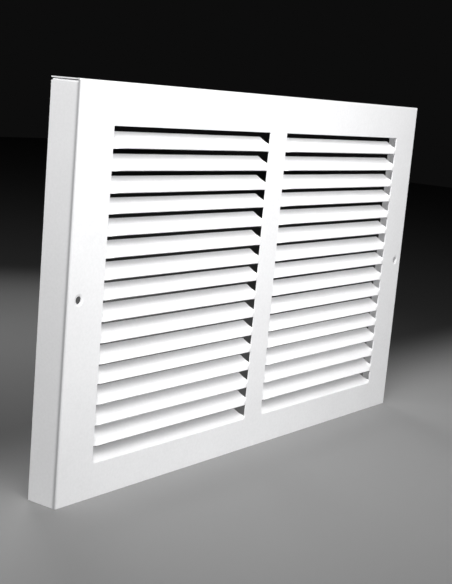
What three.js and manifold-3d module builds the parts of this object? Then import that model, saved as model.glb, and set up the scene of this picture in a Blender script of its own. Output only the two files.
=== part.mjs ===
// Baseboard return air grille: a white powder-coated steel face with two banks of
// fixed stamped louvres, turned back on its top and two sides so that it stands off
// the wall over the baseboard. Its bottom edge is cut plain and rests at floor level.
//
// Millimetres, +Z up. X runs along the width and the face looks towards -Y.
// The origin is at the middle of the bottom of the bounding box.

import * as THREE from 'three';
import { mergeVertices } from 'three/addons/utils/BufferGeometryUtils.js';
import Module from 'manifold-3d';

// ---- Driving dimensions -------------------------------------------------------------

const faceWidth = 400.05; // 15 3/4 in
const faceHeight = 247.65; // 9 3/4 in
const turnback = 22.225; // 7/8 in, front of the face to the wall
const sheet = 0.8; // coated steel sheet
const bendRadius = 1; // outside of the bend between face and flange

const sideMargin = 30.2; // plain face beside each bank
const mullionWidth = 20.4;
const topMargin = 24.75; // plain face above the first louvre

const groupCount = 4; // louvres are stamped four at a stroke
const louvresPerGroup = 4;
const louvrePitch = 12.84; // within one group
const groupEndPitch = 11.98; // last louvre of a group
const bottomLouvreHeight = 11.2; // last louvre of all, hinged on the bottom rail

const louvreTurn = THREE.MathUtils.degToRad(48); // from the face plane
const bottomLouvreTurn = THREE.MathUtils.degToRad(54);
const neckShare = 0.36; // part of the pitch that stays joined to the face
const pivotShare = 0.2; // part of the pitch below the line a louvre turns about
const bottomNeckHeight = 2.4;
const neckEase = 1.6; // how gently a louvre leaves the face beside its neck
const twistSpread = 1.7; // times faster along the louvre than up its free end
const hingeEase = 1.2; // height over which the bottom louvre's bend is reached
const lanceGap = 0.3; // clearance of every lanced cut

const screwHoleDiameter = 4.8;
const screwSinkDiameter = 7.2;
const screwSinkDepth = 0.5;
const screwInset = 9.5; // hole centre to the side edge

const tabLength = 12; // corner tab, folded from the side flange under the top one
const tabRadius = 1.2;
const tabSlit = 0.5; // between top flange and tab
const tabSetback = 1; // tab's ends, clear of the bend and of the wall
const seam = 0.3; // clearance between bent pieces at a corner

// ---- Derived dimensions -------------------------------------------------------------

const firstLance = faceHeight - topMargin;
const louvreCount = groupCount * louvresPerGroup;
const bankWidth = (faceWidth - 2 * sideMargin - mullionWidth) / 2;
const pivotHeight = pivotShare * louvrePitch;
// The louvres' lower edges stand this far in front of the face.
const louvreReach = (pivotHeight - lanceGap / 2) * Math.sin(louvreTurn);
const faceY = (louvreReach - turnback) / 2;
const groupHeight = (louvresPerGroup - 1) * louvrePitch + groupEndPitch;
const lastLance =
  firstLance - (groupCount - 1) * groupHeight - (louvresPerGroup - 1) * louvrePitch;
const bottomRailHeight = lastLance - bottomLouvreHeight;
const tabTop = faceHeight - sheet - tabSlit;
const sideFlangeHeight = tabTop - tabRadius - seam;
const tabFront = bendRadius + tabSetback;
const tabDepth = turnback - tabFront - tabSetback;

// ---- Material -----------------------------------------------------------------------

function powderCoat() {
  return new THREE.MeshStandardMaterial({ color: 0xf2f2f0, roughness: 0.45, metalness: 0 });
}

// ---- Solids -------------------------------------------------------------------------

const wasm = await Module();
wasm.setup();

function toManifold(geometry) {
  const bare = geometry.index ? geometry.toNonIndexed() : geometry.clone();
  bare.deleteAttribute('normal');
  bare.deleteAttribute('uv');
  const merged = mergeVertices(bare);
  const mesh = new wasm.Mesh({
    numProp: 3,
    vertProperties: new Float32Array(merged.attributes.position.array),
    triVerts: new Uint32Array(merged.index.array),
  });
  return new wasm.Manifold(mesh);
}

function fromManifold(solid) {
  const mesh = solid.getMesh();
  const geometry = new THREE.BufferGeometry();
  geometry.setAttribute('position', new THREE.BufferAttribute(mesh.vertProperties, 3));
  geometry.setIndex(new THREE.BufferAttribute(mesh.triVerts, 1));
  geometry.computeVertexNormals();
  return geometry;
}

// A flat piece of the face, given by its left, right, bottom and top edges.
// Its front is at y = 0.
function facePlate(left, right, bottom, top) {
  const plate = new THREE.BoxGeometry(right - left, sheet, top - bottom);
  plate.translate((left + right) / 2, sheet / 2, (bottom + top) / 2);
  return plate;
}

// A screw hole through the face at (x, z), sunk a little at the front.
function withScrewHole(plate, x, z) {
  const segments = 24;
  const past = 1; // the cutter runs this far past each face
  const hole = screwHoleDiameter / 2;
  const sinkPast = (screwSinkDiameter / 2 - hole) * (past / screwSinkDepth);
  const cutter = new THREE.LatheGeometry(
    [
      new THREE.Vector2(0, -past),
      new THREE.Vector2(screwSinkDiameter / 2 + sinkPast, -past),
      new THREE.Vector2(hole, screwSinkDepth),
      new THREE.Vector2(hole, sheet + past),
      new THREE.Vector2(0, sheet + past),
    ],
    segments,
  );
  cutter.translate(x, 0, z);
  return fromManifold(toManifold(plate).subtract(toManifold(cutter)));
}

// Section of a folded strip: one leg along +x and one along +y, meeting in a round bend
// at the origin. Each leg's length is counted from the outer corner.
function foldedSection(legX, legY, radius) {
  const shape = new THREE.Shape();
  shape.moveTo(legX, 0);
  shape.lineTo(radius, 0);
  shape.absarc(radius, radius, radius, -Math.PI / 2, -Math.PI, true);
  shape.lineTo(0, legY);
  shape.lineTo(sheet, legY);
  shape.lineTo(sheet, radius);
  shape.absarc(radius, radius, radius - sheet, Math.PI, (3 * Math.PI) / 2, false);
  shape.lineTo(legX, sheet);
  return shape;
}

function foldedStrip(legX, legY, radius, length) {
  return new THREE.ExtrudeGeometry(foldedSection(legX, legY, radius), {
    depth: length,
    bevelEnabled: false,
    curveSegments: 4,
    steps: 1,
  });
}

// ---- Louvres ------------------------------------------------------------------------

// A louvre is a strip of the face, cut along its top, its bottom and the upper part of
// both ends, and turned about a line through the two necks that still hold it. Here
// `along` is the distance from the nearer end and `up` the height above the lower cut.
// The turn is 0 all along the joint at the neck, starts sharply at the tip of the end cut
// and is reached a few millimetres farther on.
function turnReached(along, up, louvre) {
  const aboveNeck = up - louvre.neck;
  const fromJoint = (Math.hypot(twistSpread * along, aboveNeck) + aboveNeck) / 2;
  const fromHinge = louvre.hinged ? up / hingeEase : 1;
  return (1 - Math.exp(-fromJoint / neckEase)) * THREE.MathUtils.smoothstep(fromHinge, 0, 1);
}

function louvrePoint(x, up, louvre) {
  const along = Math.min(x, bankWidth - x);
  const angle = louvre.turn * turnReached(along, up, louvre);
  const arm = up - louvre.pivot;
  return new THREE.Vector3(x, arm * Math.sin(angle), louvre.pivot + arm * Math.cos(angle));
}

// Direction through the sheet, from its front to its back, square to the louvre's length.
function louvreNormal(x, up, louvre) {
  const step = 0.05;
  const upward = louvrePoint(x, up + step, louvre).sub(louvrePoint(x, up - step, louvre));
  return new THREE.Vector3(0, upward.z, -upward.y).normalize();
}

// Distances along the louvre: close together where the ends twist, then one long span.
function louvreColumns() {
  const nearEnd = [lanceGap, 2, 5, 10, 20];
  return [...nearEnd, ...nearEnd.map((x) => bankWidth - x).reverse()];
}

function louvreGeometry(louvre) {
  const columns = louvreColumns();
  const bottom = lanceGap / 2;
  const top = louvre.height - lanceGap / 2;
  const rows = [bottom, louvre.neck, (louvre.neck + top) / 2, top];
  const positions = [];
  for (const depth of [0, sheet]) {
    for (const x of columns) {
      for (const up of rows) {
        const offset = louvreNormal(x, up, louvre).multiplyScalar(depth);
        positions.push(...louvrePoint(x, up, louvre).add(offset).toArray());
      }
    }
  }

  const lastColumn = columns.length - 1;
  const lastRow = rows.length - 1;
  const front = (column, row) => column * rows.length + row;
  const back = (column, row) => front(column, row) + columns.length * rows.length;
  const index = [];
  const quad = (a, b, c, d) => index.push(a, b, c, a, c, d);
  for (let i = 0; i < lastColumn; i += 1) {
    for (let j = 0; j < lastRow; j += 1) {
      quad(front(i, j), front(i + 1, j), front(i + 1, j + 1), front(i, j + 1));
      quad(back(i, j), back(i, j + 1), back(i + 1, j + 1), back(i + 1, j));
    }
    quad(front(i, 0), back(i, 0), back(i + 1, 0), front(i + 1, 0));
    quad(front(i, lastRow), front(i + 1, lastRow), back(i + 1, lastRow), back(i, lastRow));
  }
  for (let j = 0; j < lastRow; j += 1) {
    quad(front(0, j), front(0, j + 1), back(0, j + 1), back(0, j));
    quad(
      front(lastColumn, j),
      back(lastColumn, j),
      back(lastColumn, j + 1),
      front(lastColumn, j + 1),
    );
  }

  const geometry = new THREE.BufferGeometry();
  geometry.setAttribute('position', new THREE.Float32BufferAttribute(positions, 3));
  geometry.setIndex(index);
  geometry.computeVertexNormals();
  return geometry;
}

// The louvre at a place in the stack, counted from 0 at the top.
function louvreAt(place) {
  const isBottom = place === louvreCount - 1;
  const endsGroup = (place + 1) % louvresPerGroup === 0;
  const pitch = endsGroup ? groupEndPitch : louvrePitch;
  return {
    height: isBottom ? bottomLouvreHeight : pitch,
    turn: isBottom ? bottomLouvreTurn : louvreTurn,
    neck: isBottom ? bottomNeckHeight : neckShare * pitch,
    pivot: isBottom ? 0 : pivotHeight,
    hinged: isBottom,
  };
}

// ---- Assembly -----------------------------------------------------------------------

const group = new THREE.Group();
group.position.y = faceY;

function addPart(name, geometry, parent = group) {
  const mesh = new THREE.Mesh(geometry, powderCoat());
  mesh.name = name;
  parent.add(mesh);
  return mesh;
}

// Face: two rails, two stiles and the centre mullion, all in one plane.
const foldLine = faceWidth / 2 - bendRadius; // where the flat face ends at each side
const slotEdge = faceWidth / 2 - sideMargin; // outer end of each bank
const screwX = faceWidth / 2 - screwInset;
const screwZ = faceHeight / 2;

const topRail = facePlate(-foldLine, foldLine, firstLance, faceHeight - bendRadius);
const bottomRail = facePlate(-foldLine, foldLine, 0, bottomRailHeight);
const leftStile = facePlate(-foldLine, -slotEdge, bottomRailHeight, firstLance);
const rightStile = facePlate(slotEdge, foldLine, bottomRailHeight, firstLance);
const mullionEdge = mullionWidth / 2;
const mullion = facePlate(-mullionEdge, mullionEdge, bottomRailHeight, firstLance);

addPart('top_rail', topRail);
addPart('bottom_rail', bottomRail);
addPart('left_stile', withScrewHole(leftStile, -screwX, screwZ));
addPart('right_stile', withScrewHole(rightStile, screwX, screwZ));
addPart('centre_mullion', mullion);

// Flanges: the same fold three times. The top one runs the full width over the others.
const topFlange = addPart('top_flange', foldedStrip(bendRadius, turnback, bendRadius, faceWidth));
topFlange.position.set(-faceWidth / 2, 0, faceHeight);
topFlange.rotation.y = Math.PI / 2;

// A side flange stops below its tab, but its bend goes on up to the top flange.
function sideFlange() {
  const leg = foldedStrip(bendRadius, turnback, bendRadius, sideFlangeHeight);
  const bend = foldedStrip(bendRadius, tabFront - seam, bendRadius, faceHeight - bendRadius);
  return toManifold(leg).add(toManifold(bend));
}

const leftFlange = addPart('left_flange', fromManifold(sideFlange()));
leftFlange.position.set(-faceWidth / 2, 0, 0);

const rightFlange = addPart('right_flange', fromManifold(sideFlange().mirror([1, 0, 0])));
rightFlange.position.set(faceWidth / 2, 0, 0);

// Corner tabs: folded over from the side flanges and welded up under the top flange.
const cornerTab = foldedStrip(tabLength, tabRadius, tabRadius, tabDepth);
const leftTab = addPart('left_corner_tab', cornerTab);
leftTab.position.set(-faceWidth / 2, tabFront, tabTop);
leftTab.rotation.x = -Math.PI / 2;

const rightTab = addPart('right_corner_tab', cornerTab.clone());
rightTab.position.set(faceWidth / 2, tabFront + tabDepth, tabTop);
rightTab.rotation.set(-Math.PI / 2, 0, Math.PI, 'ZYX');

// Louvres: numbered from the top in each bank.
const banks = [
  { side: 'left', start: -slotEdge },
  { side: 'right', start: mullionEdge },
];
for (const bank of banks) {
  const stack = new THREE.Group();
  stack.position.set(bank.start, 0, 0);
  group.add(stack);
  let lance = firstLance;
  for (let place = 0; place < louvreCount; place += 1) {
    const louvre = louvreAt(place);
    lance -= louvre.height;
    const number = String(place + 1).padStart(2, '0');
    const mesh = addPart(`louvre_${bank.side}_${number}`, louvreGeometry(louvre), stack);
    mesh.position.z = lance;
  }
}

export default group;
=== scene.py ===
"""Looks of a white powder-coated steel return air grille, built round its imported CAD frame.

Metres, +Z up. The room side of the face looks towards -Y and the wall is at +Y.
Every visible piece is a thin sheet of nearly even thickness, made by one function from a
surface that is written as a formula, so neighbouring pieces meet exactly where the real
sheet runs on.
"""

import math
from collections import Counter

import bmesh
import bpy
from mathutils import Matrix, Vector
from mathutils.geometry import delaunay_2d_cdt


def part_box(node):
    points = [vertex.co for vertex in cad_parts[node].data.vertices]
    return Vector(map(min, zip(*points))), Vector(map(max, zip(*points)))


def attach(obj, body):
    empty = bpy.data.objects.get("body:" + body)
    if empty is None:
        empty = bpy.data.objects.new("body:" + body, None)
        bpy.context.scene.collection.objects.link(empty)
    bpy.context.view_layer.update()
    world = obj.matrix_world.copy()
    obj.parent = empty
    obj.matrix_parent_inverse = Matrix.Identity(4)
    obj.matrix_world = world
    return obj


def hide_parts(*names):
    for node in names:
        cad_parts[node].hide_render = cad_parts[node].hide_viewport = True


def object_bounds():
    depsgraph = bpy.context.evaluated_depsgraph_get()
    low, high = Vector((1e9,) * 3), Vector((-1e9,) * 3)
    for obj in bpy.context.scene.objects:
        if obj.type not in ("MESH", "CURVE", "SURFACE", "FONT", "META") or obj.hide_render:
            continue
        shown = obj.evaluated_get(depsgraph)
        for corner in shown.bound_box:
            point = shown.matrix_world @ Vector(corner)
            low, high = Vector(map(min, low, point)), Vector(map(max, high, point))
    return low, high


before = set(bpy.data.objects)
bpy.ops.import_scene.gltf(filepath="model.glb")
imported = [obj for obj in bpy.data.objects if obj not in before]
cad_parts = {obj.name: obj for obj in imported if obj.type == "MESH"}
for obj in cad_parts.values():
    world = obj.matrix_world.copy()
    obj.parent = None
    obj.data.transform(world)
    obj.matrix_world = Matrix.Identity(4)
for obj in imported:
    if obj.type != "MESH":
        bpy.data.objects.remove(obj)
cad_low, cad_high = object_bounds()

# ---- Sizes from the frame ------------------------------------------------------------

MM = 0.001
LEFT, RIGHT, TOP = cad_low.x, cad_high.x, cad_high.z
WALL_Y = cad_high.y
mullion_low, mullion_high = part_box("centre_mullion")
top_rail_low, top_rail_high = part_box("top_rail")
left_stile_low, left_stile_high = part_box("left_stile")
right_stile_low, right_stile_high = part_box("right_stile")
SHEET = mullion_high.y - mullion_low.y
FACE_Y = top_rail_low.y
FOLD_RADIUS = top_rail_low.x - LEFT
SLOTS_TOP = mullion_high.z
SLOTS_BOTTOM = mullion_low.z
tab_box_low, tab_box_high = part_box("left_corner_tab")
TAB_LENGTH = tab_box_high.x - LEFT
TAB_FRONT = tab_box_low.y - FACE_Y

# ---- Sizes of the sheet metal, as in the CAD part ------------------------------------

LOUVRE_COUNT = 16  # in each bank
LOUVRE_TURN = math.radians(48)  # from the face plane
BOTTOM_LOUVRE_TURN = math.radians(54)
NECK_SHARE = 0.36  # part of a louvre's height that stays joined to the sheet beside it
BOTTOM_NECK = 2.4 * MM  # the same on the lowest louvre, as a height
PIVOT_SHARE = 0.2  # part of a louvre's height below the line it turns about
NECK_EASE = 1.6 * MM  # how gently a louvre leaves the face beside its neck
TWIST_SPREAD = 1.7  # times faster along the louvre than up its free end
HINGE_EASE = 1.2 * MM  # height over which the lowest louvre's bend is reached
LANCE_GAP = 0.3 * MM  # between two louvres of the CAD part
TAB_RADIUS = 1.2 * MM
TAB_START = tab_box_high.z - TAB_RADIUS  # height where the side flange turns into the tab
SCREW_INSET = 9.5 * MM  # from the side edge of the face
SCREW_RADIUS = 2.4 * MM
CORNER_GAP = 0.3 * MM  # between the top of a side flange's bend and the tab behind it

# ---- Finer shape that only the eye needs ---------------------------------------------

EDGE_ROUND = 0.18 * MM  # coated edges of the cut sheet
EDGE_STRIP = 0.6 * MM  # keeps the shading of a rounded edge off the flat sheet beside it
SLIT_GAP = 0.12 * MM  # real width of a lanced cut
SLIT_TAPER = 0.35 * MM  # the corner tabs rise towards the wall and close their slit
END_PULL = 1.2 * MM  # the louvres' end cuts open this much towards their tops
END_PULL_REACH = 8 * MM  # how far along the louvre that pull is felt
CORNER_ROUND = 1.3 * MM  # corners of the louvres' free edges
DIMPLE_RADIUS = 3.9 * MM  # pressed dimple round each screw hole
DIMPLE_DEPTH = 0.4 * MM
SLIT_WARP = 10 * MM  # height of side flange that rises with its tab

# ---- How finely the sheets are divided -----------------------------------------------

HAIR = 0.01 * MM  # positions closer than this are the same; also the step for slopes
EDGE_SEGMENTS = 3
LONG_STEPS = 24  # along a long side
SHORT_STEPS = 4  # across a strip
BEND_STEPS = 8
LEG_STEPS = 6  # from a bend to the leg's cut edge, and from front to back of a tab
CORNER_DEGREES = range(0, 91, 15)  # round the ends of the top flange
TAB_CUT_STEPS = (0.5, 1.0, 1.6, 2.4)  # mm behind the front of the tab, on the side flange
HOLE_SPOKES = 48
HOLE_RINGS = 8
HOLE_REACH = DIMPLE_RADIUS * 1.15  # outermost ring round a screw hole
OPEN_RADIUS = SCREW_RADIUS * 0.99  # faces centred closer to the hole's middle are left out
END_STEPS = (0.4, 0.8, 1.3, 1.9, 2.6, 3.4, 4.4, 5.6, 7, 9, 11.5, 15, 20)  # mm from a louvre's end
LOUVRE_STEPS = 8  # along the middle of a louvre, and up its neck
FREE_STEPS = 12  # up the free part of a louvre
FREE_CROWDING = 1.6  # above 1, these steps crowd towards the neck
ROUND_STEPS = (0.6, 0.3, 0.1, 0)  # shares of CORNER_ROUND below a louvre's free edge

# ---- Coating -------------------------------------------------------------------------

WHITE = (0.80, 0.80, 0.808, 1)
# Painted shade: the white turns towards this grey along the folds, where a crease would fall in
# shade.
FOLD_SHADE_GREY = (0.34, 0.34, 0.35, 1)
FOLD_SHADE_DEPTH = 0.95  # how far the white turns grey with painted shade where a fold's shade is fullest
FOLD_SHADE_CROWN = 1.6  # middle of the painted shade along a fold, in bend radii from the start of the bend
FOLD_SHADE_WIDTH = 1.3  # of that painted shade, in bend radii
UPPER_FOLD_SHADE = 0.4  # strength of the painted fold shade on the top flange and tabs
NOISE_RANGE = (0.3, 0.7)  # nearly all of a noise pattern lies between these
CLOUDS = (45, 4)  # noise patterns: scale per metre, detail
CLOUD_TONES = (0.975, 1.0)
GRAIN = (560, 3)
GRAIN_TONES = (0.955, 1.0)
GLOSS = (220, 3)
GLOSS_ROUGHNESS = (0.38, 0.5)
COAT_SPECULAR = 0.45
WAVES = (9, 1)
WAVE_HEIGHT = 0.4 * MM
PEEL = (650, 2)
PEEL_HEIGHT = 0.018 * MM
SPECKS = (2600, 1)
SPECK_HEIGHT = 0.005 * MM


# ---- Building thin sheets ------------------------------------------------------------


def surface_normal(surface, u, v):
    """Outward normal of surface(u, v), whose u and v turn anticlockwise seen from outside."""
    along_u = surface(u + HAIR, v) - surface(u - HAIR, v)
    along_v = surface(u, v + HAIR) - surface(u, v - HAIR)
    return along_u.cross(along_v).normalized()


def thick_sheet(node, uv, faces, surface, is_seam=None, painted_fold_shade=None, outward=None):
    """A closed sheet behind surface(u, v), standing for one CAD node.

    Its outline is rounded, except where is_seam(u, v) says that the sheet runs on in the
    next piece. The fold-shade function gives at (u, v) how much painted shade darkens the
    coating along a fold, 0 to 1, and outward(u, v) is the direction of the sheet's thickness.
    """
    name = f"{node}_sheet"
    count = len(uv)
    outward = outward or (lambda u, v: surface_normal(surface, u, v))
    front = [surface(u, v) for u, v in uv]
    back = [p - outward(u, v) * SHEET for p, (u, v) in zip(front, uv)]

    shape = bmesh.new()
    weight = shape.edges.layers.float.new("bevel_weight_edge")
    # Painted shade along the folds, stored per vertex.
    fold_shade_layer = shape.verts.layers.float.new("painted_fold_shade")
    verts = [shape.verts.new(p) for p in front + back]
    if painted_fold_shade:
        for i, (u, v) in enumerate(uv):
            verts[i][fold_shade_layer] = verts[i + count][fold_shade_layer] = painted_fold_shade(u, v)

    uses = Counter()
    for face in faces:
        shape.faces.new([verts[i] for i in face])
        shape.faces.new([verts[i + count] for i in reversed(face)])
        for a, b in zip(face, face[1:] + face[:1]):
            uses[frozenset((a, b))] += 1
    for face in faces:
        for a, b in zip(face, face[1:] + face[:1]):
            if uses[frozenset((a, b))] > 1:
                continue
            wall = shape.faces.new([verts[b], verts[a], verts[a + count], verts[b + count]])
            middle = [(uv[a][k] + uv[b][k]) / 2 for k in (0, 1)]
            if is_seam and is_seam(*middle):
                for edge in wall.edges:
                    edge.smooth = False
                continue
            for pair in ((a, b), (a + count, b + count)):
                shape.edges.get([verts[i] for i in pair])[weight] = 1.0

    loose = [v for v in shape.verts if not v.link_faces]
    bmesh.ops.delete(shape, geom=loose, context="VERTS")
    for face in shape.faces:
        face.smooth = True
    mesh = bpy.data.meshes.new(name)
    shape.to_mesh(mesh)
    shape.free()
    piece = bpy.data.objects.new(name, mesh)
    bpy.context.scene.collection.objects.link(piece)

    rounding = piece.modifiers.new("rounded edges", "BEVEL")
    rounding.width = EDGE_ROUND
    rounding.segments = EDGE_SEGMENTS
    rounding.limit_method = "WEIGHT"
    shading = piece.modifiers.new("even shading", "WEIGHTED_NORMAL")
    shading.keep_sharp = True

    mesh.materials.append(coating)
    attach(piece, "root")
    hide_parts(node)


def grid(us, vs, keep=None):
    """Points and quads over the given u and v values; keep(i, j) can leave a cell out."""
    uv = [(u, v) for u in us for v in vs]
    rows = len(vs)
    faces = []
    for i in range(len(us) - 1):
        for j in range(rows - 1):
            if keep is None or keep(i, j):
                corner = i * rows + j
                faces.append([corner, corner + rows, corner + rows + 1, corner + 1])
    return uv, faces


def spread(start, end, steps):
    """Evenly spaced values from start to end."""
    return [start + (end - start) * i / steps for i in range(steps + 1)]


def smooth(value):
    """A soft step from 0 to 1."""
    value = min(max(value, 0.0), 1.0)
    return value * value * (3 - 2 * value)


def face_point(x, z):
    return Vector((x, FACE_Y, z))


def fold(distance, radius):
    """A flat sheet folded back 90 degrees: how far along and how deep a point ends up."""
    arc = radius * math.pi / 2
    if distance <= 0:
        return distance, 0.0
    if distance < arc:
        angle = distance / radius
        return radius * math.sin(angle), radius * (1 - math.cos(angle))
    return radius, radius + distance - arc


def fold_steps(radius, flat):
    """Distances across a fold: fine round the bend, the flat leg and a strip at its cut edge."""
    arc = radius * math.pi / 2
    end = arc + flat
    leg = spread(arc, end, LEG_STEPS)[1:-1]
    return spread(0, arc, BEND_STEPS) + leg + [end - EDGE_STRIP, end]


def fold_shade(distance, radius):
    """How much painted shade darkens the coating on a fold: most where the bend runs into the
    flange.
    """
    crown = radius * FOLD_SHADE_CROWN
    return math.exp(-(((distance - crown) / (FOLD_SHADE_WIDTH * radius)) ** 2))


def is_near(value, *targets):
    return any(abs(value - target) < HAIR for target in targets)


# ---- Material ------------------------------------------------------------------------


def powder_coat():
    """Satin white powder coat: fine orange peel, faint mottling, and painted shade that greys it
    along the folds.

    A Mix node's sockets are taken by number: 0 is the factor, 6 and 7 are its two colours
    and output 2 is the mixed colour.
    """
    material = bpy.data.materials.new("white_powder_coat")
    material.use_nodes = True
    nodes, links = material.node_tree.nodes, material.node_tree.links
    shader = nodes["Principled BSDF"]
    place = nodes.new("ShaderNodeTexCoord").outputs["Object"]

    def noise(pattern):
        node = nodes.new("ShaderNodeTexNoise")
        for name, value in zip(("Scale", "Detail"), pattern):
            node.inputs[name].default_value = value
        links.new(place, node.inputs["Vector"])
        return node.outputs["Fac"]

    def noise_between(pattern, limits):
        node = nodes.new("ShaderNodeMapRange")
        names = ("From Min", "From Max", "To Min", "To Max")
        for name, value in zip(names, NOISE_RANGE + limits):
            node.inputs[name].default_value = value
        links.new(noise(pattern), node.inputs["Value"])
        return node.outputs["Result"]

    def mix(blend, factor, first, second):
        node = nodes.new("ShaderNodeMix")
        node.data_type = "RGBA"
        node.blend_type = blend
        for socket, value in zip((node.inputs[0], node.inputs[6], node.inputs[7]),
                                 (factor, first, second)):
            if isinstance(value, bpy.types.NodeSocket):
                links.new(value, socket)
            else:
                socket.default_value = value
        return node.outputs[2]

    def bump(pattern, height, below=None):
        node = nodes.new("ShaderNodeBump")
        node.inputs["Strength"].default_value = 1.0
        node.inputs["Distance"].default_value = height
        links.new(noise(pattern), node.inputs["Height"])
        if below:
            links.new(below, node.inputs["Normal"])
        return node.outputs["Normal"]

    tone = mix("MULTIPLY", 1.0, WHITE, noise_between(CLOUDS, CLOUD_TONES))
    tone = mix("MULTIPLY", 1.0, tone, noise_between(GRAIN, GRAIN_TONES))
    # Painted shade: the white is greyed along each fold by the per-vertex fold shade.
    fold_shade_attribute = nodes.new("ShaderNodeAttribute")
    fold_shade_attribute.attribute_name = "painted_fold_shade"
    fold_shade_strength = nodes.new("ShaderNodeMath")
    fold_shade_strength.operation = "MULTIPLY"
    fold_shade_strength.inputs[1].default_value = FOLD_SHADE_DEPTH
    links.new(fold_shade_attribute.outputs["Fac"], fold_shade_strength.inputs[0])
    tone = mix("MIX", fold_shade_strength.outputs[0], tone, FOLD_SHADE_GREY)
    links.new(tone, shader.inputs["Base Color"])
    links.new(noise_between(GLOSS, GLOSS_ROUGHNESS), shader.inputs["Roughness"])
    waves = bump(WAVES, WAVE_HEIGHT)
    peel = bump(PEEL, PEEL_HEIGHT, waves)
    specks = bump(SPECKS, SPECK_HEIGHT, peel)
    links.new(specks, shader.inputs["Normal"])
    shader.inputs["Specular IOR Level"].default_value = COAT_SPECULAR
    return material


coating = powder_coat()


# ---- Louvre rows ---------------------------------------------------------------------


class Row:
    """One row of louvres: the same strip in both banks, from its lower cut to upper."""

    def __init__(self, place, upper):
        self.place = place
        self.hinged = place == LOUVRE_COUNT
        low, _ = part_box(f"louvre_left_{place:02d}")
        self.lance = SLOTS_BOTTOM if self.hinged else low.z - LANCE_GAP / 2
        self.height = upper - self.lance
        self.neck = BOTTOM_NECK if self.hinged else NECK_SHARE * self.height
        self.turn = BOTTOM_LOUVRE_TURN if self.hinged else LOUVRE_TURN


def louvre_rows():
    rows = []
    upper = SLOTS_TOP
    for place in range(1, LOUVRE_COUNT + 1):
        rows.append(Row(place, upper))
        upper = rows[-1].lance
    return rows


rows = louvre_rows()
TURNING_HEIGHT = PIVOT_SHARE * rows[0].height  # of the line that the louvres turn about


def holds_louvre(z):
    """True beside a neck, where a louvre runs on into the stile or mullion."""
    return any(row.lance < z < row.lance + row.neck for row in rows)


def slot_side_heights():
    """Heights at which the edge of a stile or mullion changes from cut to joined."""
    ends = [z for row in rows for z in (row.lance, row.lance + row.neck)]
    return sorted({SLOTS_TOP, *ends})


# ---- Face ----------------------------------------------------------------------------


def build_rails():
    ends = (top_rail_low.x, top_rail_high.x)
    banks = [left_stile_high.x, mullion_low.x, mullion_high.x, right_stile_low.x]
    xs = sorted({*ends, *banks, *spread(*ends, LONG_STEPS)})

    def over_slots(x):
        return banks[0] < x < banks[1] or banks[2] < x < banks[3]

    def top_seam(x, z):
        return not (is_near(z, SLOTS_TOP) and over_slots(x))

    def bottom_seam(x, z):
        return is_near(z, SLOTS_BOTTOM) or is_near(x, *ends)

    for node, is_seam in (("top_rail", top_seam), ("bottom_rail", bottom_seam)):
        low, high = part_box(node)
        uv, faces = grid(xs, spread(low.z, high.z, SHORT_STEPS))
        thick_sheet(node, uv, faces, face_point, is_seam)


def build_mullion():
    xs = spread(mullion_low.x, mullion_high.x, SHORT_STEPS)
    uv, faces = grid(xs, slot_side_heights())

    def is_seam(x, z):
        return is_near(z, SLOTS_TOP, SLOTS_BOTTOM) or holds_louvre(z)

    thick_sheet("centre_mullion", uv, faces, face_point, is_seam)


def dimpled(centre_x, centre_z):
    """The face plane with a pressed dimple round a screw hole."""

    def surface(x, z):
        reach = math.hypot(x - centre_x, z - centre_z)
        share = smooth((reach - SCREW_RADIUS) / (DIMPLE_RADIUS - SCREW_RADIUS))
        return Vector((x, FACE_Y + DIMPLE_DEPTH * (1 - share), z))

    return surface


def build_stile(node, screw_x, fold_x, slot_x):
    """A stile with its screw hole: rings round the hole, joined to the outline."""
    low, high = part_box(node)
    screw_z = (cad_low.z + TOP) / 2
    sides = {fold_x: spread(low.z, high.z, LONG_STEPS), slot_x: slot_side_heights()}
    outline = [(x, low.z) for x in spread(low.x, high.x, SHORT_STEPS)]
    outline += [(high.x, z) for z in sides[high.x][1:]]
    outline += [(x, high.z) for x in spread(high.x, low.x, SHORT_STEPS)[1:]]
    outline += [(low.x, z) for z in sides[low.x][-2:0:-1]]
    points = [Vector(p) for p in outline]
    edges = [(i, (i + 1) % len(outline)) for i in range(len(outline))]
    hole = Vector((screw_x, screw_z))
    for radius in spread(SCREW_RADIUS, HOLE_REACH, HOLE_RINGS):
        first = len(points)
        for k in range(HOLE_SPOKES):
            turn = 2 * math.pi * k / HOLE_SPOKES
            points.append(hole + Vector((math.cos(turn), math.sin(turn))) * radius)
            edges.append((first + k, first + (k + 1) % HOLE_SPOKES))
    inside_outline, merge_distance = 1, 1e-9
    verts, _, faces, *_ = delaunay_2d_cdt(points, edges, [], inside_outline, merge_distance)
    kept = []
    for face in faces:
        middle = sum((verts[i] for i in face), Vector((0, 0))) / len(face)
        if (middle - hole).length > OPEN_RADIUS:
            kept.append(list(face))

    def is_seam(x, z):
        if is_near(x, slot_x):
            return holds_louvre(z)
        return is_near(x, fold_x) or is_near(z, low.z, high.z)

    uv = [(p.x, p.y) for p in verts]
    thick_sheet(node, uv, kept, dimpled(screw_x, screw_z), is_seam)


# ---- Flanges and tabs ----------------------------------------------------------------


def slit_rise(y):
    """How much higher the tab sits at y than at its front."""
    share = (y - FACE_Y - TAB_FRONT) / (WALL_Y - FACE_Y - TAB_FRONT)
    return SLIT_TAPER * max(share, 0.0)


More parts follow.
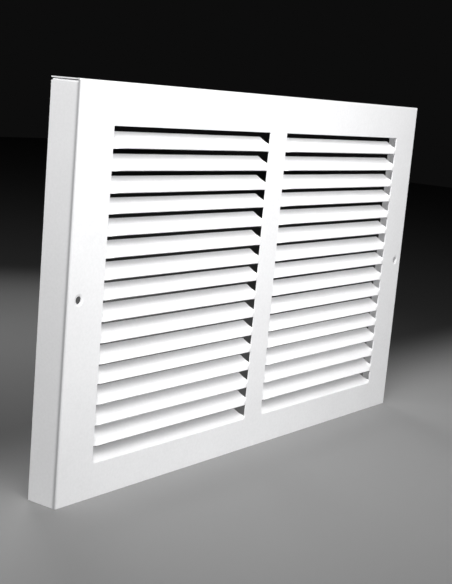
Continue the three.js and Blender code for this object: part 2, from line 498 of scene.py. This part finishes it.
def build_top_flange():
    steps = fold_steps(FOLD_RADIUS, WALL_Y - FACE_Y - FOLD_RADIUS)
    start = TOP - FOLD_RADIUS
    round_end = [FOLD_RADIUS * math.sin(math.radians(a)) for a in CORNER_DEGREES]

    def surface(x, distance):
        along, depth = fold(distance, FOLD_RADIUS)
        past = min(max(abs(x) - (RIGHT - FOLD_RADIUS), 0.0), FOLD_RADIUS)
        corner = FOLD_RADIUS - math.sqrt(FOLD_RADIUS**2 - past**2)
        return Vector((x, FACE_Y + max(depth, corner), start + along))

    def outward(x, distance):
        angle = min(distance / FOLD_RADIUS, math.pi / 2)
        return Vector((0, -math.cos(angle), math.sin(angle)))

    def is_seam(x, distance):
        return is_near(distance, 0)

    # Painted shade along the top flange's fold, kept weaker.
    def painted_shade(x, distance):
        return UPPER_FOLD_SHADE * fold_shade(distance, FOLD_RADIUS)

    left_end = [LEFT + FOLD_RADIUS - s for s in reversed(round_end)]
    right_end = [RIGHT - FOLD_RADIUS + s for s in round_end]
    xs = left_end + spread(left_end[-1], right_end[0], LONG_STEPS)[1:-1] + right_end
    uv, faces = grid(xs, steps)
    thick_sheet("top_flange", uv, faces, surface, is_seam, painted_shade, outward)


def build_side_flange(side):
    """side is -1 for the left flange and 1 for the right one."""
    node = "left_flange" if side < 0 else "right_flange"
    _, tab_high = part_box(node.replace("flange", "corner_tab"))
    edge_x = LEFT if side < 0 else RIGHT
    start = edge_x - side * FOLD_RADIUS
    arc = FOLD_RADIUS * math.pi / 2
    bend_top = TOP - FOLD_RADIUS
    bend_back = arc + TAB_FRONT - CORNER_GAP - FOLD_RADIUS
    tab_line = arc + TAB_FRONT - FOLD_RADIUS
    tab_end = arc + tab_high.y - FACE_Y - FOLD_RADIUS
    last = arc + WALL_Y - FACE_Y - FOLD_RADIUS
    steps = spread(0, arc, BEND_STEPS) + [bend_back, tab_line]
    steps += [tab_line + step * MM for step in TAB_CUT_STEPS]
    steps += spread(steps[-1], tab_end, SHORT_STEPS)[1:] + [last]
    warp_start = TAB_START - SLIT_WARP

    def surface(distance, z):
        along, depth = fold(side * distance, FOLD_RADIUS)
        lift = slit_rise(FACE_Y + depth) * max(1 - (TAB_START - z) / SLIT_WARP, 0.0)
        lift = lift if z <= TAB_START else 0.0
        return Vector((start + side * along, FACE_Y + depth, z + lift))

    def outward(distance, z):
        angle = min(side * distance / FOLD_RADIUS, math.pi / 2)
        return Vector((side * math.sin(angle), -math.cos(angle), 0))

    def is_seam(distance, z):
        under_tab = is_near(z, TAB_START) and tab_line < side * distance < tab_end
        return is_near(distance, 0) or is_near(z, bend_top) or under_tab

    # Painted shade along the side flange's fold.
    def painted_shade(distance, z):
        return fold_shade(side * distance, FOLD_RADIUS)

    us = steps if side > 0 else [-s for s in reversed(steps)]
    vs = spread(cad_low.z, warp_start, LONG_STEPS)
    vs += spread(warp_start, TAB_START, SHORT_STEPS)[1:] + [bend_top]

    def keep(i, j):
        """Above the tab's fold only the bend itself goes on, up to the top flange."""
        farther = max(abs(us[i]), abs(us[i + 1]))
        return vs[j + 1] < bend_top or farther < bend_back + HAIR

    uv, faces = grid(us, vs, keep)
    thick_sheet(node, uv, faces, surface, is_seam, painted_shade, outward)


def build_tab(side):
    """The tab that a side flange turns into, under the top flange."""
    node = "left_corner_tab" if side < 0 else "right_corner_tab"
    low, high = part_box(node)
    edge_x = LEFT if side < 0 else RIGHT
    steps = fold_steps(TAB_RADIUS, TAB_LENGTH - TAB_RADIUS)

    def surface(u, distance):
        along, depth = fold(distance, TAB_RADIUS)
        y = side * u
        return Vector((edge_x - side * depth, y, TAB_START + along + slit_rise(y)))

    def is_seam(u, distance):
        return is_near(distance, 0)

    # Painted shade along the tab's fold, kept weaker.
    def painted_shade(u, distance):
        return UPPER_FOLD_SHADE * fold_shade(distance, TAB_RADIUS)

    ys = spread(low.y, high.y, LEG_STEPS)
    us = ys if side > 0 else [-y for y in reversed(ys)]
    uv, faces = grid(us, steps)
    thick_sheet(node, uv, faces, surface, is_seam, painted_shade)


# ---- Louvres -------------------------------------------------------------------------


def louvre_angle(row, along, up):
    """How far the strip is turned: not at all along its joint, sharply from the cut's tip."""
    above = up - row.neck
    from_joint = (math.hypot(TWIST_SPREAD * along, above) + above) / 2
    share = 1 - math.exp(-from_joint / NECK_EASE)
    if row.hinged:
        share *= smooth(up / HINGE_EASE)
    return row.turn * share


def build_louvre(side, row):
    """The twisted strip. x is a place in the frame and up the height above the lower cut."""
    start = left_stile_high.x if side == "left" else mullion_high.x
    width = mullion_low.x - left_stile_high.x
    pivot = 0.0 if row.hinged else TURNING_HEIGHT
    free_top = row.height - SLIT_GAP / 2

    def pull(up):
        """How far the end cut has opened at this height, with the corner rounded off."""
        opened = END_PULL * max(up - row.neck, 0.0) / (free_top - row.neck)
        into_corner = min(max(up - free_top + CORNER_ROUND, 0.0), CORNER_ROUND)
        return opened + CORNER_ROUND - math.sqrt(CORNER_ROUND**2 - into_corner**2)

    def surface(x, up):
        along = max(min(x - start, start + width - x), 0.0)
        shift = pull(up) * max(1 - along / END_PULL_REACH, 0.0)
        angle = louvre_angle(row, along + shift, up)
        arm = up - pivot
        rise = pivot + arm * math.cos(angle)
        inward = shift if x < start + width / 2 else -shift
        return Vector((x + inward, FACE_Y + arm * math.sin(angle), row.lance + rise))

    def outward(x, up):
        """Square to the sheet, but inside the plane of this x, clear of the stile."""
        upward = surface(x, up + HAIR) - surface(x, up - HAIR)
        return Vector((0, -upward.z, upward.y)).normalized()

    ends = [0.0, SLIT_GAP] + [step * MM for step in END_STEPS]
    middle = spread(ends[-1], width - ends[-1], LOUVRE_STEPS)[1:-1]
    xs = [start + x for x in ends + middle + [width - e for e in reversed(ends)]]
    shares = [(i / FREE_STEPS) ** FREE_CROWDING for i in range(FREE_STEPS)]
    free_part = [row.neck + (free_top - row.neck) * share for share in shares]
    free_part += [free_top - CORNER_ROUND * share for share in ROUND_STEPS]
    free_part.sort()
    joined = spread(0.0 if row.hinged else SLIT_GAP / 2, row.neck, LOUVRE_STEPS)
    heights = joined + free_part[1:]
    last = len(xs) - 2

    def keep(i, j):
        """The end cuts: at a bank's ends only the neck is left."""
        return i not in (0, last) or j < len(joined) - 1

    def is_seam(x, up):
        return is_near(x, start, start + width) or (row.hinged and is_near(up, 0))

    uv, faces = grid(xs, heights, keep)
    thick_sheet(f"louvre_{side}_{row.place:02d}", uv, faces, surface, is_seam, None, outward)


build_rails()
build_mullion()
build_stile("left_stile", LEFT + SCREW_INSET, left_stile_low.x, left_stile_high.x)
build_stile("right_stile", RIGHT - SCREW_INSET, right_stile_high.x, right_stile_low.x)
build_top_flange()
for flange_side in (-1, 1):
    build_side_flange(flange_side)
    build_tab(flange_side)
for bank_side in ("left", "right"):
    for louvre_row in rows:
        build_louvre(bank_side, louvre_row)


# ---- Floor, light and camera ---------------------------------------------------------


FLOOR_PALE = (0.25, 0.25, 0.25, 1)
# Painted shade: the floor behind the grille is coloured nearly black, as if it were unlit.
FLOOR_PAINTED_SHADE = (0.012, 0.012, 0.012, 1)
FLOOR_ROUGHNESS = 0.8
FLOOR_HALF = 3.0
SHADE_START = -0.02  # Y where the painted shade on the floor starts, just in front of the face
SHADE_END = 0.13  # Y behind which the painted shade is darkest
ROOM_STRENGTH = 0.004  # stray light from all round

# Name, place, target, width, height, watts, and the angle of its spread in degrees.
SOFTBOXES = (
    ("key_softbox", (-0.5, -0.52, 0.92), (0.03, 0, 0.38), 0.8, 0.8, 4.4, 75),
    ("front_softbox", (-0.12, -0.8, 0.55), (-0.08, 0, 0.3), 0.5, 0.5, 0.65, 50),
    ("side_softbox", (-0.9, -0.25, 0.75), (-0.2, 0, 0.25), 0.5, 0.5, 0.64, 70),
    ("rear_softbox", (0.5, 0.75, 0.3), (0, 0, 0.12), 0.4, 0.3, 0.8, 80),
    ("inner_softbox", (0.06, 0.7, 0.14), (0.12, 0, 0.12), 0.1, 0.15, 0.25, 60),
)

# The camera looks from the left of straight ahead and a little above, and is itself
# tipped anticlockwise, seen from behind it.
VIEW_TURN = math.radians(-55.01)
VIEW_RISE = math.radians(11.67)
VIEW_ROLL = math.radians(5.06)
VIEW_DISTANCE = 0.8111
AIM_POINT = Vector((-0.0414, FACE_Y, 0.0833))  # where the lens axis meets the face
FOCAL_LENGTH = 73.85
SENSOR = 36.0
SHIFT_UP = 0.082
CLIP_START = 0.01


def studio_floor():
    """Matt floor paper: plain and pale, with painted shade that darkens it behind the grille."""
    material = bpy.data.materials.new("floor_paper")
    material.use_nodes = True
    nodes, links = material.node_tree.nodes, material.node_tree.links
    shader = nodes["Principled BSDF"]
    shader.inputs["Roughness"].default_value = FLOOR_ROUGHNESS
    place = nodes.new("ShaderNodeTexCoord").outputs["Object"]
    split = nodes.new("ShaderNodeSeparateXYZ")
    links.new(place, split.inputs[0])
    # Painted shade on the floor, from pale in front of the face to dark behind the grille.
    grading = nodes.new("ShaderNodeMapRange")
    grading.interpolation_type = "SMOOTHSTEP"
    grading.inputs["From Min"].default_value = SHADE_START
    grading.inputs["From Max"].default_value = SHADE_END
    links.new(split.outputs["Y"], grading.inputs["Value"])
    tone = nodes.new("ShaderNodeMix")
    tone.data_type = "RGBA"
    tone.inputs[6].default_value = FLOOR_PALE
    tone.inputs[7].default_value = FLOOR_PAINTED_SHADE
    links.new(grading.outputs["Result"], tone.inputs[0])
    links.new(tone.outputs[2], shader.inputs["Base Color"])
    return material


def build_floor():
    mesh = bpy.data.meshes.new("floor")
    signs = ((-1, -1), (1, -1), (1, 1), (-1, 1))
    corners = [(x * FLOOR_HALF, y * FLOOR_HALF, 0) for x, y in signs]
    mesh.from_pydata(corners, [], [(0, 1, 2, 3)])
    mesh.materials.append(studio_floor())
    floor = bpy.data.objects.new("floor", mesh)
    bpy.context.scene.collection.objects.link(floor)


def aim(obj, target):
    direction = Vector(target) - obj.location
    obj.rotation_euler = direction.to_track_quat("-Z", "Y").to_euler()


def softbox(name, place, target, width, height, power, spread_angle):
    data = bpy.data.lights.new(name, "AREA")
    data.shape = "RECTANGLE"
    data.size = width
    data.size_y = height
    data.energy = power
    data.spread = math.radians(spread_angle)
    light = bpy.data.objects.new(name, data)
    light.location = place
    light.visible_camera = False
    bpy.context.scene.collection.objects.link(light)
    aim(light, target)


def build_lights():
    for values in SOFTBOXES:
        softbox(*values)
    world = bpy.data.worlds.new("studio")
    world.use_nodes = True
    background = world.node_tree.nodes["Background"]
    background.inputs["Color"].default_value = (1, 1, 1, 1)
    background.inputs["Strength"].default_value = ROOM_STRENGTH
    bpy.context.scene.world = world
    bpy.context.scene.view_settings.view_transform = "Standard"


def build_camera():
    back = Vector((
        math.sin(VIEW_TURN) * math.cos(VIEW_RISE),
        -math.cos(VIEW_TURN) * math.cos(VIEW_RISE),
        math.sin(VIEW_RISE),
    ))
    data = bpy.data.cameras.new("camera")
    data.lens = FOCAL_LENGTH
    data.sensor_width = SENSOR
    data.shift_y = SHIFT_UP
    data.clip_start = CLIP_START
    camera = bpy.data.objects.new("camera", data)
    bpy.context.scene.collection.objects.link(camera)
    level = (-back).to_track_quat("-Z", "Y").to_matrix()
    tipped = level @ Matrix.Rotation(VIEW_ROLL, 3, "Z")
    camera.matrix_world = Matrix.Translation(AIM_POINT + back * VIEW_DISTANCE) @ tipped.to_4x4()
    bpy.context.scene.camera = camera


build_floor()
build_lights()
build_camera()
